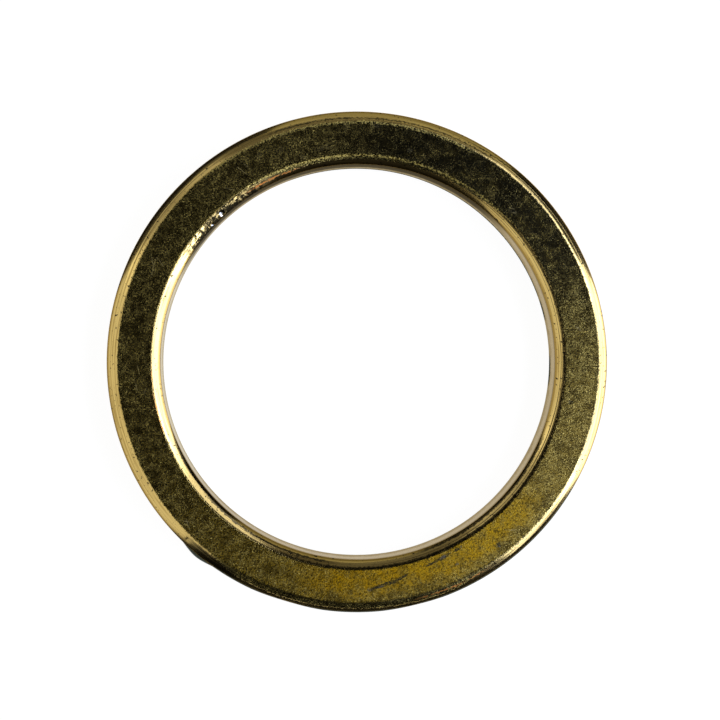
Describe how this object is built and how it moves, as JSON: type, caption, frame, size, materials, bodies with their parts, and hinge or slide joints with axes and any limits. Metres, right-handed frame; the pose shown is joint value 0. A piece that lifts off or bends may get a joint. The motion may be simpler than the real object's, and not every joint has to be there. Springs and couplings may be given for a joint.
{
  "type": "flat washer",
  "caption": "Flat brass ring washer with a plain round bore, two flat faces and crowned bevels on its upper edges.",
  "frame": {"origin": "centre of the lower face, on the washer's axis", "axes": "+Z along the washer's axis, from the lower face with sheared edges to the upper face with bevelled edges; X and Y are equal"},
  "size_m": [0.038, 0.038, 0.003],
  "materials": {
    "aged_brass": "polished brass bevels around dull, finely scratched and brown-tarnished faces"
  },
  "bodies": {
    "root": {"flat_washer": "aged_brass"}
  },
  "joints": []
}
